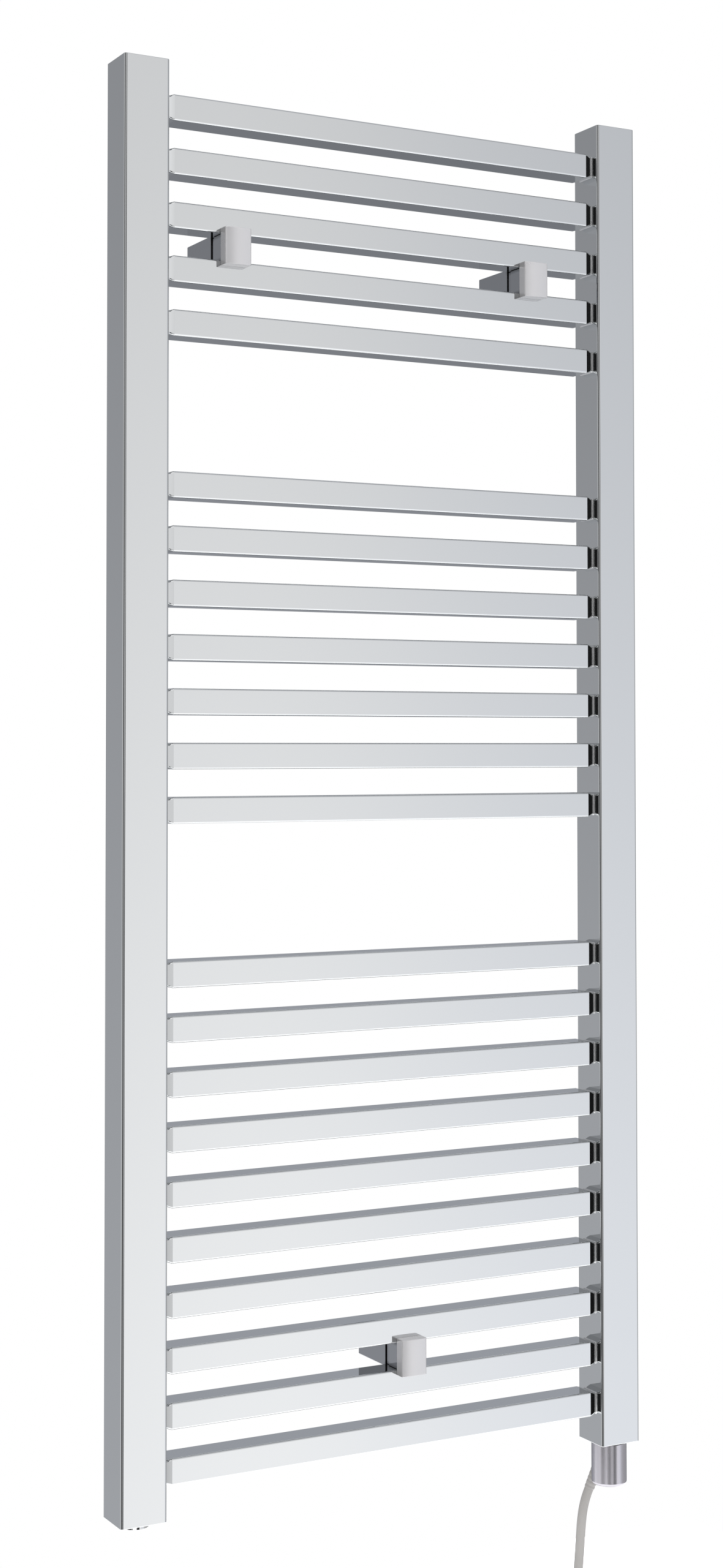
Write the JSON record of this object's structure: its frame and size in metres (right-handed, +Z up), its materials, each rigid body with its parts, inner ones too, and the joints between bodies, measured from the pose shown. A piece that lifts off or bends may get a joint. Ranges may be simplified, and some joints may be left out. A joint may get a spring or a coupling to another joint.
{
  "type": "towel warmer rack",
  "caption": "Wall-hung ladder towel warmer: flat bars in spaced groups between square posts, clamp brackets on sliding stand-offs, electric element with a flex.",
  "frame": {"origin": "on the wall plane, midway between the two upper wall screw holes", "axes": "+X along the crossbars to the right as seen from the room, +Y into the wall, +Z up"},
  "size_m": [0.556, 0.0872, 1.487],
  "materials": {
    "chrome_tube": "bright chrome plate on steel tube",
    "steel_fitting": "plated, welded in",
    "chrome_head": "satin-bright chrome on a pressed cap",
    "chrome_bracket": "chrome-plated zinc casting",
    "cast_socket": "dark coated zinc casting",
    "zinc_screw": "zinc-plated steel",
    "chrome_fitting": "chrome-plated brass",
    "brass_bush": "turned brass",
    "black_rubber": "moulded rubber",
    "steel_sheath": "drawn stainless tube",
    "packed_oxide": "packed oxide powder with the heating wire in it",
    "dark_collar": "dark moulded ring",
    "brushed_cap": "satin brushed tube with a rounded lower edge",
    "white_block": "moulded",
    "fuse_body": "glazed",
    "pale_pvc": "extruded flexible sheath",
    "core_pvc": "three insulated cores in brown, blue, and green with yellow"
  },
  "bodies": {
    "wall_brackets": {"wall_socket_bottom": "cast_socket", "wall_socket_top_left": "cast_socket", "wall_socket_top_right": "cast_socket"},
    "bleed_valve": {"bleed_spindle": "chrome_fitting"},
    "rack": {"air_vent": "chrome_fitting", "blanking_plug": "chrome_fitting", "cable_coil": "pale_pvc", "cable_cores": "core_pvc", "cable_relief": "pale_pvc", "cap_collar": "dark_collar", "cap_shell": "brushed_cap", "clamp_plate_bottom": "chrome_bracket", "clamp_plate_top_left": "chrome_bracket", "clamp_plate_top_right": "chrome_bracket", "clamp_screws": "zinc_screw", "crossbar_01": "chrome_tube", "crossbar_02": "chrome_tube", "crossbar_03": "chrome_tube", "crossbar_04": "chrome_tube", "crossbar_05": "chrome_tube", "crossbar_06": "chrome_tube", "crossbar_07": "chrome_tube", "crossbar_08": "chrome_tube", "crossbar_09": "chrome_tube", "crossbar_10": "chrome_tube", "crossbar_11": "chrome_tube", "crossbar_12": "chrome_tube", "crossbar_13": "chrome_tube", "crossbar_14": "chrome_tube", "crossbar_15": "chrome_tube", "crossbar_16": "chrome_tube", "crossbar_17": "chrome_tube", "crossbar_18": "chrome_tube", "crossbar_19": "chrome_tube", "crossbar_20": "chrome_tube", "crossbar_21": "chrome_tube", "crossbar_22": "chrome_tube", "element_bush": "brass_bush", "grub_screws": "zinc_screw", "head_cover_bottom": "chrome_head", "head_cover_top_left": "chrome_head", "head_cover_top_right": "chrome_head", "heater_core": "packed_oxide", "heater_sheath": "steel_sheath", "mains_cable": "pale_pvc", "port_cap_left": "steel_fitting", "port_cap_right": "steel_fitting", "port_seals": "black_rubber", "post_left": "chrome_tube", "post_right": "chrome_tube", "saddle_bottom": "chrome_bracket", "saddle_top_left": "chrome_bracket", "saddle_top_right": "chrome_bracket", "sleeve_bottom": "chrome_bracket", "sleeve_top_left": "chrome_bracket", "sleeve_top_right": "chrome_bracket", "terminal_block": "white_block", "thermal_fuse": "fuse_body", "top_cap_left": "chrome_tube", "top_cap_right": "chrome_tube"}
  },
  "joints": [
    {"name": "standoff_slide", "type": "slide", "parent": "wall_brackets", "child": "rack", "axis": [0, -1, 0], "range_m": [0, 0.015]},
    {"name": "bleed_turn", "type": "hinge", "parent": "rack", "child": "bleed_valve", "pos_m": [-0.227, -0.044, 0.128], "axis": [0, 1, 0], "range_deg": [0, 180]}
  ]
}
